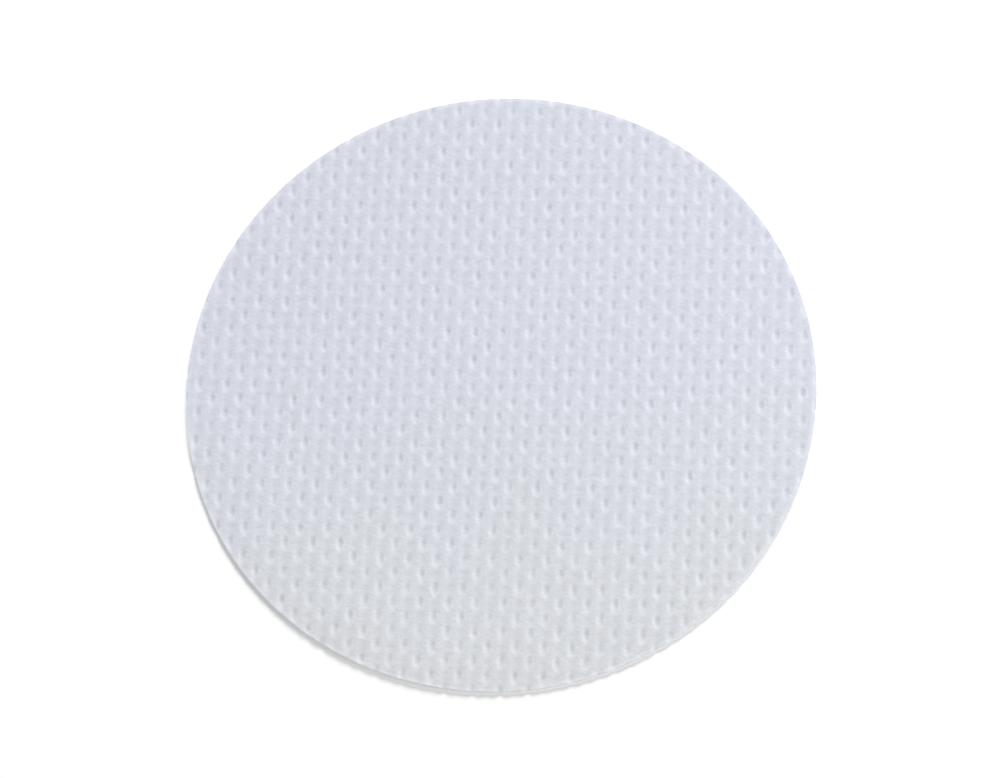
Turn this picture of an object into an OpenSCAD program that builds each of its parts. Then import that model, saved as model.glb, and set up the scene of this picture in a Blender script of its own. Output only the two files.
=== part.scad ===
// Round laboratory filter paper, die-cut from one sheet of embossed paper.
// The disc lies flat. Its grooves run along Y, +Z is up, and the origin is
// the centre of the disc on the surface that it lies on.

/* [Sheet] */
// Diameter of the die-cut disc
disc_d = 90; // [40:5:110]
// Thickness of the paper, measured straight up outside the dents
paper_t = 0.2; // [0.16:0.01:0.5]

/* [Grooves] */
// Distance from the middle of one groove to the middle of the next
groove_pitch = 1.96; // [1.6:0.04:4]
// Height of the rib tops above the groove floors
groove_depth = 0.05; // [0.03:0.01:0.2]
// Width of the flat floor of a groove
groove_floor_w = 0.9; // [0.85:0.05:1.1]

/* [Dents] */
// Distance from one dent to the next in the same groove
dent_pitch = 4.28; // [3.4:0.04:8]
// Depth of a dent below the groove floor
dent_depth = 0.13; // [0.04:0.01:0.15]
// Width of a dent across the groove, at the groove floor
dent_w = 0.8; // [0.4:0.05:0.8]
// Length of a dent along the groove, at the groove floor
dent_l = 2; // [1:0.1:2.6]

/* [Hidden] */

paper_color = [0.86, 0.88, 0.93];
// straight steps that round one side of a rib
rib_steps = 3;
// facets round the cut edge of the disc
edge_facets = 360;
// height that the notches of the dents reach above the groove floor
notch_over = 0.005;

// Height of the disc from the groove backs to the rib tops
caliper = paper_t + groove_depth;
// Grooves on each side of the middle one, enough to pass the cut edge
grooves_a_side = ceil(disc_d / 2 / groove_pitch);
// Dents on each side of the middle one in a groove, enough to pass the edge
dents_a_side = ceil(disc_d / 2 / dent_pitch);
// Width of the sheet across all its grooves
sheet_w = (2 * grooves_a_side + 1) * groove_pitch;
// Length of the sheet along its grooves
sheet_l = (2 * dents_a_side + 1) * dent_pitch;
// Width of one side of a rib, from the groove floor to the rib top
rib_side_w = (groove_pitch - groove_floor_w) / 2;

// Rise of the sheet at a share s of the way up the side of a rib: half a
// cosine wave, level at the groove floor and level again at the rib top.
function rise(s) = groove_depth * (1 - cos(180 * s)) / 2;

// One groove from rib top to rib top, centred on x = 0, at height base.
function groove(base) = concat(
    [for (k = [rib_steps : -1 : 0])
        [-groove_floor_w / 2 - rib_side_w * k / rib_steps, base + rise(k / rib_steps)]],
    [for (k = [0 : rib_steps - 1])
        [groove_floor_w / 2 + rib_side_w * k / rib_steps, base + rise(k / rib_steps)]]
);

// One face of the sheet across all its grooves, from left to right.
function sheet_face(base) = [
    for (i = [-grooves_a_side : grooves_a_side], p = groove(base))
        [p[0] + i * groove_pitch, p[1]]
];

function reversed(points) = [for (k = [len(points) - 1 : -1 : 0]) points[k]];

// The grooved sheet before it is cut: the same wave on both faces, so that
// the back of each groove is a low rib and the paper keeps its thickness.
module grooved_sheet() {
    rotate([90, 0, 0])
        linear_extrude(height = sheet_l, center = true)
            polygon(concat(sheet_face(paper_t), reversed(sheet_face(0))));
}

// A notch that is w wide at height 0 and comes to a point at -dent_depth.
// Its sides run on upwards far enough to clear the groove floor.
module notch(w) {
    top_w = w * (dent_depth + notch_over) / dent_depth;
    polygon([[-top_w / 2, notch_over], [0, -dent_depth], [top_w / 2, notch_over]]);
}

// The dents of every second groove: notches along those grooves, kept only
// where notches across them meet. The other grooves' dents lie half a dent
// pitch further on.
module dents(odd) {
    intersection() {
        rotate([90, 0, 0])
            linear_extrude(height = sheet_l + 2 * dent_pitch, center = true)
                for (i = [-grooves_a_side : grooves_a_side])
                    if (abs(i % 2) == odd)
                        translate([i * groove_pitch, paper_t]) notch(dent_w);
        rotate([90, 0, 90])
            linear_extrude(height = sheet_w, center = true)
                for (j = [-dents_a_side : dents_a_side])
                    translate([(j + odd / 2) * dent_pitch, paper_t]) notch(dent_l);
    }
}

module filter_disc() {
    color(paper_color)
        difference() {
            intersection() {
                grooved_sheet();
                cylinder(d = disc_d, h = caliper, $fn = edge_facets);
            }
            dents(0);
            dents(1);
        }
}

filter_disc();
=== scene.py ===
import math

import bpy
import numpy as np
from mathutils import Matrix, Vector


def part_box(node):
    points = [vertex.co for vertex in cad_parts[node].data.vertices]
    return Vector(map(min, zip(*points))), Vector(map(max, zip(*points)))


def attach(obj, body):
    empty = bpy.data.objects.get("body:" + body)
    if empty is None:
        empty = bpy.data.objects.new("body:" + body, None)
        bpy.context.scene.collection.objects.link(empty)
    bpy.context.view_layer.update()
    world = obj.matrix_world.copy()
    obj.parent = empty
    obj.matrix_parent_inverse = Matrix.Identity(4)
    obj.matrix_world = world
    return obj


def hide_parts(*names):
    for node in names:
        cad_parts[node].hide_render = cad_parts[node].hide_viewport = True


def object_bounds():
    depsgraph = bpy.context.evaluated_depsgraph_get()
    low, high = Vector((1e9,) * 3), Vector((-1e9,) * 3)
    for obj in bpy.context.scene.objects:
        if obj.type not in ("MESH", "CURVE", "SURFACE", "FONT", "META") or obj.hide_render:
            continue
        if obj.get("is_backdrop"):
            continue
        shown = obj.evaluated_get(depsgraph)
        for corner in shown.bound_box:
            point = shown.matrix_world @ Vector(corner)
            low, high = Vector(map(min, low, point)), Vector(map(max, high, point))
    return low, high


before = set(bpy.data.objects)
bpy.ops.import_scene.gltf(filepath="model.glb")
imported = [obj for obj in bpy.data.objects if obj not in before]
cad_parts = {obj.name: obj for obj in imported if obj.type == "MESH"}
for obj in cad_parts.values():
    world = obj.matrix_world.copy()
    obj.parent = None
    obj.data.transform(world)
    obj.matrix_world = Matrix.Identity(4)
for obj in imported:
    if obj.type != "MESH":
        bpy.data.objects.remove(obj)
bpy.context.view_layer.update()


# ---------------------------------------------------------------- filter paper
# A round of qualitative filter paper: soft, unsized cotton-fibre paper, pressed
# between patterned rolls while damp, so that fine grooves and staggered dents
# stand on both faces, and then die-cut to a circle in one stroke.

low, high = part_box("filter_disc")
disc_r = (high.x - low.x) / 2
caliper = high.z - low.z

groove_pitch = 0.00196
groove_depth = 0.00005
# above 1, so that the groove floors are wider than the rib tops
rib_power = 1.35

dent_pitch = 0.00428
dent_depth = 0.00013
# half width, half length and power of the two ovals that add up to a dent
wide_oval = (0.00075, 0.00155, 2.3)
steep_oval = (0.00040, 0.00094, 1.55)
wide_share, steep_share = 0.62, 0.38
# half width and half length of the shallow dip between two dents of a groove
dip_oval = (0.00069, 0.00080)
dip_share = 0.18
# share of a dent's depth that still shows as a bump on the back
dent_on_back = 0.3

# usual stray of a dent from the even pattern, in depth and in place
stray_seed = 11
depth_stray = 0.14
across_stray = 0.00006
along_stray = 0.00011
weakest_dent, strongest_dent = 0.6, 1.2


def oval(across, along, half_w, half_l, power):
    """A smooth oval mound, 1 in its middle: (1 - d^2)^power, where d is the
    distance from the middle in its own half width and half length."""
    inside = 1 - (across / half_w) ** 2 - (along / half_l) ** 2
    return np.clip(inside, 0, None) ** power


def ribs(x):
    """Height of the ribs: a raised cosine across the grooves, to a power. 0 on
    a groove floor, 1 on a rib top."""
    return ((1 - np.cos(2 * np.pi * x / groove_pitch)) / 2) ** rib_power


def nearest_dent(x, y):
    """Dents sit on the groove floors, and those of every second groove are
    half a pitch further along. Gives the nearest dent's strength, about 1, and
    how far the point is from its middle, across and along the groove. No two
    dents are quite alike, as the fibres under them lie thicker or thinner, so
    each one's strength and place get a random stray."""
    groove = np.round(x / groove_pitch).astype(int)
    stagger = (groove % 2) / 2
    row = np.round(y / dent_pitch - stagger).astype(int)
    # enough for all the grooves, or rows, on one side of the middle, and to spare
    reach = int(disc_r / groove_pitch) + 3
    draws = np.random.default_rng(stray_seed)
    stray = draws.normal(0, 1, (3, 2 * reach, 2 * reach))
    stray_depth, stray_x, stray_y = stray[:, groove + reach, row + reach]
    strength = np.clip(1 + depth_stray * stray_depth, weakest_dent, strongest_dent)
    across = x - groove * groove_pitch + across_stray * stray_x
    along = y - (row + stagger) * dent_pitch + along_stray * stray_y
    return strength, across, along


def dents(x, y):
    """Depth of the embossing below the ribs' wave, in dent depths: a steep oval
    inside a wide one, both times the dent's strength, and a shallow oval dip
    midway between two dents of a groove."""
    strength, across, along = nearest_dent(x, y)
    wide = oval(across, along, *wide_oval)
    steep = oval(across, along, *steep_oval)
    dip = oval(across, np.abs(along) - dent_pitch / 2, *dip_oval, power=2)
    return strength * (wide_share * wide + steep_share * steep) + dip_share * dip


# How far the edge lifts: by the curl, which is to the near left, and by the
# ripple, which goes all round
curl_lift = 0.00032
curl_bearing = math.radians(225)
ripple_lift = 0.00008
ripple_turn = 0.7
# share of the radius that lies flat on the bench
flat_share = 0.35
# above 1, so that the rest rises mostly near the edge
rise_power = 1.5


def smooth(t):
    """0 below 0, 1 above 1, and 3t^2 - 2t^3 in between."""
    t = np.clip(t, 0, 1)
    return t * t * (3 - 2 * t)


def drape(x, y):
    """Lift of the sheet off the bench. Its middle lies flat, and a smooth rise
    with the radius brings its edge up by a raised cosine of the bearing, which
    is the curl to one side, and by a lower one with three waves round the edge."""
    radius = np.hypot(x, y) / disc_r
    bearing = np.arctan2(y, x)
    curl = curl_lift * (1 + np.cos(bearing - curl_bearing)) / 2
    ripple = ripple_lift * (1 + np.cos(3 * bearing + ripple_turn)) / 2
    rise = smooth((radius - flat_share) / (1 - flat_share)) ** rise_power
    return rise * (curl + ripple)


# Steps of the grids along x and y: whole parts of the pitches, so that every
# groove and dent has points at the same places
face_step = (groove_pitch / 10, dent_pitch / 10)
back_step = (groove_pitch / 4, dent_pitch / 6)
# edges that turn more than this, such as the cut edge's, stay crisp
crisp_turn = math.radians(40)


def disc_grid(step_x, step_y):
    """A grid of oblong cells pulled out or in to the circle. Points well inside
    the circle stay, and the ring of points round them moves along the radius
    until it lies on the circle. Gives the points' x and y, the four corners of
    each cell, and the points on the circle in order of their bearing."""
    n_x = math.ceil(disc_r / step_x) + 1
    n_y = math.ceil(disc_r / step_y) + 1
    x, y = np.meshgrid(
        np.arange(-n_x, n_x + 1) * step_x, np.arange(-n_y, n_y + 1) * step_y
    )
    radius = np.hypot(x, y)
    # a point nearer to the circle than this would leave a sliver of a cell
    sliver = 0.35 * min(step_x, step_y)
    inside = radius < disc_r - sliver
    number = np.arange(x.size).reshape(x.shape)

    def cell_corners(grid):
        low_row, high_row = grid[:-1], grid[1:]
        round_cell = [low_row[:, :-1], low_row[:, 1:], high_row[:, 1:], high_row[:, :-1]]
        return np.stack(round_cell, -1)

    cells = cell_corners(number)[cell_corners(inside).any(-1)]
    pull = disc_r / np.where(inside, disc_r, radius)
    used, cells = np.unique(cells, return_inverse=True)
    x = (x * pull).ravel()[used]
    y = (y * pull).ravel()[used]
    rim = np.flatnonzero(~inside.ravel()[used])
    rim = rim[np.argsort(np.arctan2(y[rim], x[rim]))]
    return x, y, cells.reshape(-1, 4), rim


def zip_rims(top_rim, top_bearing, low_rim, low_bearing):
    """Triangles of the cut edge between two rings of points with different
    counts: walking round both at once, each point met makes one triangle with
    the point before it on its own ring and the last one met on the other."""
    bearing = np.concatenate([top_bearing, low_bearing])
    order = np.argsort(bearing, kind="stable")
    on_top = order < len(top_rim)
    top = (np.cumsum(on_top) - 1) % len(top_rim)
    under = (np.cumsum(~on_top) - 1) % len(low_rim)
    top_before = np.where(on_top, top - 1, top) % len(top_rim)
    under_before = np.where(on_top, under, under - 1) % len(low_rim)
    met = np.where(on_top, top_rim[top], low_rim[under])
    return np.stack([top_rim[top_before], low_rim[under_before], met], -1)


def filter_paper_mesh():
    """The whole sheet: a fine grid for the face, a coarser one for the back,
    and the cut edge zipped between their rims. With bump as the dents' height
    on the back, and thickness as what the flat disc's height leaves for paper,
    back = drape + groove_depth * ribs + bump * (1 - dents, or 0 if less)
    face = drape + groove_depth * ribs - dent_depth * dents + thickness + bump"""
    face_x, face_y, face_cells, face_rim = disc_grid(*face_step)
    back_x, back_y, back_cells, back_rim = disc_grid(*back_step)
    bump = dent_on_back * dent_depth
    thickness = caliper - groove_depth - bump
    face_z = drape(face_x, face_y) + groove_depth * ribs(face_x)
    face_z = face_z - dent_depth * dents(face_x, face_y) + thickness + bump
    back_z = drape(back_x, back_y) + groove_depth * ribs(back_x)
    back_z = back_z + bump * np.clip(1 - dents(back_x, back_y), 0, None)
    face = np.stack([face_x, face_y, face_z], -1)
    back = np.stack([back_x, back_y, back_z], -1)
    edge = zip_rims(
        face_rim,
        np.arctan2(face_y[face_rim], face_x[face_rim]),
        back_rim + len(face),
        np.arctan2(back_y[back_rim], back_x[back_rim]),
    )
    back_cells = back_cells[:, ::-1] + len(face)
    mesh = bpy.data.meshes.new("filter_paper")
    mesh.from_pydata(
        np.concatenate([face, back]).tolist(),
        [],
        face_cells.tolist() + back_cells.tolist() + edge.tolist(),
    )
    # the dents' strength, which the material reads for their painted shade and highlight
    # as well as their crushed grey, fainter on the back
    face_strength, _, _ = nearest_dent(face_x, face_y)
    back_strength, _, _ = nearest_dent(back_x, back_y)
    strength = np.concatenate([face_strength, dent_on_back * back_strength])
    dent_strength = mesh.attributes.new("dent_strength", "FLOAT", "POINT")
    dent_strength.data.foreach_set("value", strength.astype(np.float32))
    mesh.shade_smooth()
    mesh.set_sharp_from_angle(angle=crisp_turn)
    return mesh


class Shade:
    """A socket of a shader node. Every operator on one adds a Math node, and
    every other node comes from the paint box's node method."""

    def __init__(self, box, socket):
        self.box, self.socket = box, socket

    def _math(self, operation, *values):
        settings = {"operation": operation}
        return self.box.node("ShaderNodeMath", settings, dict(enumerate(values)))

    def __add__(self, other):
        return self._math("ADD", self, other)

    def __sub__(self, other):
        return self._math("SUBTRACT", self, other)

    def __rsub__(self, other):
        return self._math("SUBTRACT", other, self)

    def __mul__(self, other):
        return self._math("MULTIPLY", self, other)

    def __truediv__(self, other):
        return self._math("DIVIDE", self, other)

    def __pow__(self, other):
        return self._math("POWER", self, other)

    def __mod__(self, other):
        return self._math("FLOORED_MODULO", self, other)

    def __abs__(self):
        return self._math("ABSOLUTE", self)

    def rounded(self):
        return self._math("ROUND", self)

    def clamped(self):
        return self._math("MINIMUM", self._math("MAXIMUM", self, 0), 1)

    __radd__ = __add__
    __rmul__ = __mul__


class PaintBox:
    """A material and the one way of adding nodes to it."""

    def __init__(self, name):
        self.material = bpy.data.materials.new(name)
        self.material.use_nodes = True
        self.tree = self.material.node_tree
        self.shader = self.tree.nodes["Principled BSDF"]

    def node(self, kind, settings=None, inputs=None, output=0):
        """A new node of a kind, with its settings made first and then the
        values or links of its sockets. Gives one of its outputs."""
        made = self.tree.nodes.new(kind)
        for key, value in (settings or {}).items():
            setattr(made, key, value)
        for key, value in (inputs or {}).items():
            self.put(made.inputs[key], value)
        return Shade(self, made.outputs[output])

    def put(self, socket, value):
        """Links a shade to a socket, or sets the socket to a plain value."""
        if isinstance(value, Shade):
            self.tree.links.new(value.socket, socket)
        else:
            socket.default_value = value

    def noise(self, place, scale, detail, stretch=(1, 1, 1)):
        """Soft noise between 0 and 1 over a place, its grain 1 / scale metres."""
        where = self.node(
            "ShaderNodeVectorMath", {"operation": "MULTIPLY"}, {0: place, 1: stretch}
        )
        return self.node(
            "ShaderNodeTexNoise",
            None,
            {"Vector": where, "Scale": scale, "Detail": detail},
        )


# Half width and half length of the grey oval in a dent and of the white one round
# it, and how far each of them, and the dip, moves the paper's tone. The grey is
# partly crushed fibre and partly painted shade in the pit, the white partly fluffed
# fibre and partly a painted highlight on the dent's lit rim, and the dip's grey is
# painted shade
core_oval, core_crush_and_shade = (0.00066, 0.00132), 1.12
ring_oval, ring_fluff_and_highlight = (0.00094, 0.00142), 0.84
dip_shade = 0.14


def pressing_and_painted_shade(paint, x, y):
    """How much greyer the paper is painted at the dents, partly from the rolls and
    partly as painted shade and painted highlight. The grey in the middle of a dent
    is crushed fibre and painted shade in the pit, and the paler ring round it is
    fluffed fibre and a painted highlight on the dent's lit rim, so an oval
    (1 - d^2)^2 of grey lies inside a wider oval of white, both times the dent's
    strength. The dip midway between two dents is a little grey, which is painted
    shade in the dip. The dents' places are worked out as in nearest_dent, but
    without their stray."""
    strength = paint.node(
        "ShaderNodeAttribute", {"attribute_name": "dent_strength"}, output="Fac"
    )
    groove = (x / groove_pitch).rounded()
    stagger = 0.5 * (groove % 2)
    row = (y / dent_pitch - stagger).rounded()
    across_squared = (x - groove * groove_pitch) ** 2
    along = abs(y - (row + stagger) * dent_pitch)

    def oval_tone(along, half_w, half_l):
        inside = 1 - across_squared / half_w**2 - along**2 / half_l**2
        return inside.clamped() ** 2

    # grey core: crushed fibre and painted shade in the pit; pale ring: fluffed fibre and a
    # painted highlight on the lit rim; dip: painted shade
    core = oval_tone(along, *core_oval)
    ring = oval_tone(along, *ring_oval)
    dip = oval_tone(along - dent_pitch / 2, *dip_oval)
    return (core_crush_and_shade * core - ring_fluff_and_highlight * ring) * strength + dip_shade * dip


# The paper at its greyest and at its whitest, and the tint of its warm parts
paper_grey = (0.636, 0.657, 0.734, 1)
paper_white = (0.874, 0.903, 0.999, 1)
warm_tint = (1.0, 0.99, 0.905, 1)
# where plain paper stands between grey, 0, and white, 1, how much nearer to white
# its rim is, as a painted highlight along the cut edge, and at what shares of the
# radius that starts and how fast it fades in
plain_tone = 0.66
rim_highlight, rim_start, rim_fade = 0.26, 0.985, 0.008
# grains to a metre, from coarse to fine, and how far they move the tone
cloud_scale, cloud_tone = 260, 0.28
lump_scale, lump_tone = 950, 0.2
mottle_scale, mottle_tone = 2200, 0.13
# warm patches, and the drift to warmer paper towards the near edge
patch_scale, patch_warmth = 40, 0.7
drift_warmth, plain_warmth = 0.8, 0.06
# fibres' grains to a metre, stretched along the grooves, across them and not at
# all, and how sharply their lines stand out
fibre_layers = ((900, (1, 0.35, 1)), (1100, (0.4, 1, 1)), (2600, (1, 1, 1)))
fibre_sharpness = 14
# height of the felt in metres, and how much of that each kind of grain makes
felt_height = 0.0000045
fibre_height, lump_height, mottle_height = 0.65, 13, 5
# matt all over, but a shade more or less so from lump to lump
paper_roughness, lump_roughness = 0.92, 0.12
paper_gloss = 0.25


def filter_paper_material():
    """Soft white paper with a cool cast. Clouds of thicker and thinner fibre
    shade it by a hundredth or so, dents are greyer with painted shade in their
    pits and a painted highlight round them, the rim is paler as a painted
    highlight on the cut edge, and it is a touch warmer towards one edge. A felt of
    fibres roughens it: thin winding lines where a noise passes its middle value,
    in three sizes that cross each other, over soft lumps."""
    paint = PaintBox("filter_paper")
    place = paint.node("ShaderNodeTexCoord", output="Object")
    x, y = (
        paint.node("ShaderNodeSeparateXYZ", None, {"Vector": place}, output=axis)
        for axis in "XY"
    )
    from_middle = paint.node(
        "ShaderNodeVectorMath", {"operation": "LENGTH"}, {0: place}, output="Value"
    )
    cloud = paint.noise(place, cloud_scale, 3)
    lumps = paint.noise(place, lump_scale, 2)
    mottle = paint.noise(place, mottle_scale, 3)

    # painted highlight: the paper grows paler towards the cut edge
    rim = ((from_middle / disc_r - rim_start) / rim_fade).clamped()
    tone = (cloud - 0.5) * cloud_tone + (lumps - 0.5) * lump_tone
    tone = tone + (mottle - 0.5) * mottle_tone
    # takes off the dents' grey, crushed fibre and painted shade, and adds their paler
    # ring, fluffed fibre and a painted highlight
    tone = tone + plain_tone + rim * rim_highlight - pressing_and_painted_shade(paint, x, y)
    paper = paint.node(
        "ShaderNodeMix",
        {"data_type": "RGBA"},
        {"Factor": tone.clamped(), "A": paper_grey, "B": paper_white},
        output="Result",
    )
    patches = (paint.noise(place, patch_scale, 1) - 0.5) * patch_warmth
    warmth = patches - y / disc_r * drift_warmth + plain_warmth
    colour = paint.node(
        "ShaderNodeMix",
        {"data_type": "RGBA", "blend_type": "MULTIPLY"},
        {"Factor": warmth.clamped(), "A": paper, "B": warm_tint},
        output="Result",
    )

    fibres = 0
    for scale, stretch in fibre_layers:
        winding = abs(paint.noise(place, scale, 1, stretch) - 0.5)
        fibres = fibres + (1 - winding * fibre_sharpness).clamped()
    height = fibres * fibre_height + lumps * lump_height + mottle * mottle_height
    felt = paint.node(
        "ShaderNodeBump",
        None,
        {"Strength": 1.0, "Distance": felt_height, "Height": height},
    )
    paint.put(paint.shader.inputs["Base Color"], colour)
    roughness = paper_roughness + (lumps - 0.5) * lump_roughness
    paint.put(paint.shader.inputs["Roughness"], roughness)
    paint.put(paint.shader.inputs["Specular IOR Level"], paper_gloss)
    paint.put(paint.shader.inputs["Normal"], felt)
    return paint.material


filter_paper = bpy.data.objects.new("filter_paper", filter_paper_mesh())
bpy.context.scene.collection.objects.link(filter_paper)
filter_paper.data.materials.append(filter_paper_material())
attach(filter_paper, "root")
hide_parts("filter_disc")


# ----------------------------------------------------------------------- bench
# A plain white studio table. It glows a little, as a sheet of opal glass that is
# lit from below does, so that it stays whiter than the paper lying on it.

bench_half = 1.5
bench_white = (0.93, 0.93, 0.93, 1)
bench_glow = 0.27

bench_mesh = bpy.data.meshes.new("bench")
bench_mesh.from_pydata(
    [
        (x * bench_half, y * bench_half, low.z)
        for x, y in ((-1, -1), (1, -1), (1, 1), (-1, 1))
    ],
    [],
    [(0, 1, 2, 3)],
)
bench = bpy.data.objects.new("bench", bench_mesh)
bpy.context.scene.collection.objects.link(bench)
opal = PaintBox("bench_white")
opal.put(opal.shader.inputs["Base Color"], bench_white)
opal.put(opal.shader.inputs["Roughness"], 0.9)
opal.put(opal.shader.inputs["Specular IOR Level"], 0.0)
opal.put(opal.shader.inputs["Emission Color"], (1, 1, 1, 1))
opal.put(opal.shader.inputs["Emission Strength"], bench_glow)
bench_mesh.materials.append(opal.material)
bench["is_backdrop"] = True


# ----------------------------------------------------------------------- light
# A broad soft box beyond the disc and a small lamp close by on its right, which
# between them draw each dent with a bright near left wall and a dark far right
# one, and an even white room around them.

room_glow = 0.14


def direction(azimuth, elevation):
    """Unit vector at an azimuth from +X towards +Y and an angle above the bench,
    both in degrees: (cos a cos e, sin a cos e, sin e)."""
    a, e = math.radians(azimuth), math.radians(elevation)
    return np.array([math.cos(a) * math.cos(e), math.sin(a) * math.cos(e), math.sin(e)])


def aim(thing, place, towards, top=(0, 0, 1)):
    """Puts a lamp or camera at a place and turns it: its back points from the
    target to the place, its right is top x back and its top is back x right."""
    back = np.subtract(place, towards)
    back = back / np.linalg.norm(back)
    right = np.cross(top, back)
    right = right / np.linalg.norm(right)
    turn = np.eye(4)
    turn[:3, :4] = np.stack([right, np.cross(back, right), back, place], -1)
    thing.matrix_world = turn.T.tolist()


disc_middle = np.array([0.0, 0.0, caliper])
for name, watts, size, distance, azimuth, elevation in (
    ("soft_box", 95, 1.3, 3.0, 87, 30),
    ("side_light", 1.0, 0.3, 0.55, -8, 45),
):
    lamp_data = bpy.data.lights.new(name, "AREA")
    lamp_data.energy = watts
    lamp_data.size = size
    lamp = bpy.data.objects.new(name, lamp_data)
    bpy.context.scene.collection.objects.link(lamp)
    aim(lamp, disc_middle + distance * direction(azimuth, elevation), disc_middle)

room = bpy.data.worlds.new("room")
room.use_nodes = True
room_light = room.node_tree.nodes["Background"]
room_light.inputs["Color"].default_value = (1, 1, 1, 1)
room_light.inputs["Strength"].default_value = room_glow
bpy.context.scene.world = room


# ---------------------------------------------------------------------- camera
# Steeply from above, from the near side and a little to the right, with the
# grooves running up the view.

camera_distance = 0.70
camera_from = direction(azimuth=-75.5, elevation=69.3)
view_top = direction(azimuth=92.5, elevation=0)

camera_data = bpy.data.cameras.new("camera")
camera_data.sensor_width = 36
camera_data.lens = 177
camera = bpy.data.objects.new("camera", camera_data)
bpy.context.scene.collection.objects.link(camera)
aim(camera, disc_middle + camera_distance * camera_from, disc_middle, top=view_top)
bpy.context.scene.camera = camera
bpy.context.scene.view_settings.view_transform = "Standard"

low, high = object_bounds()
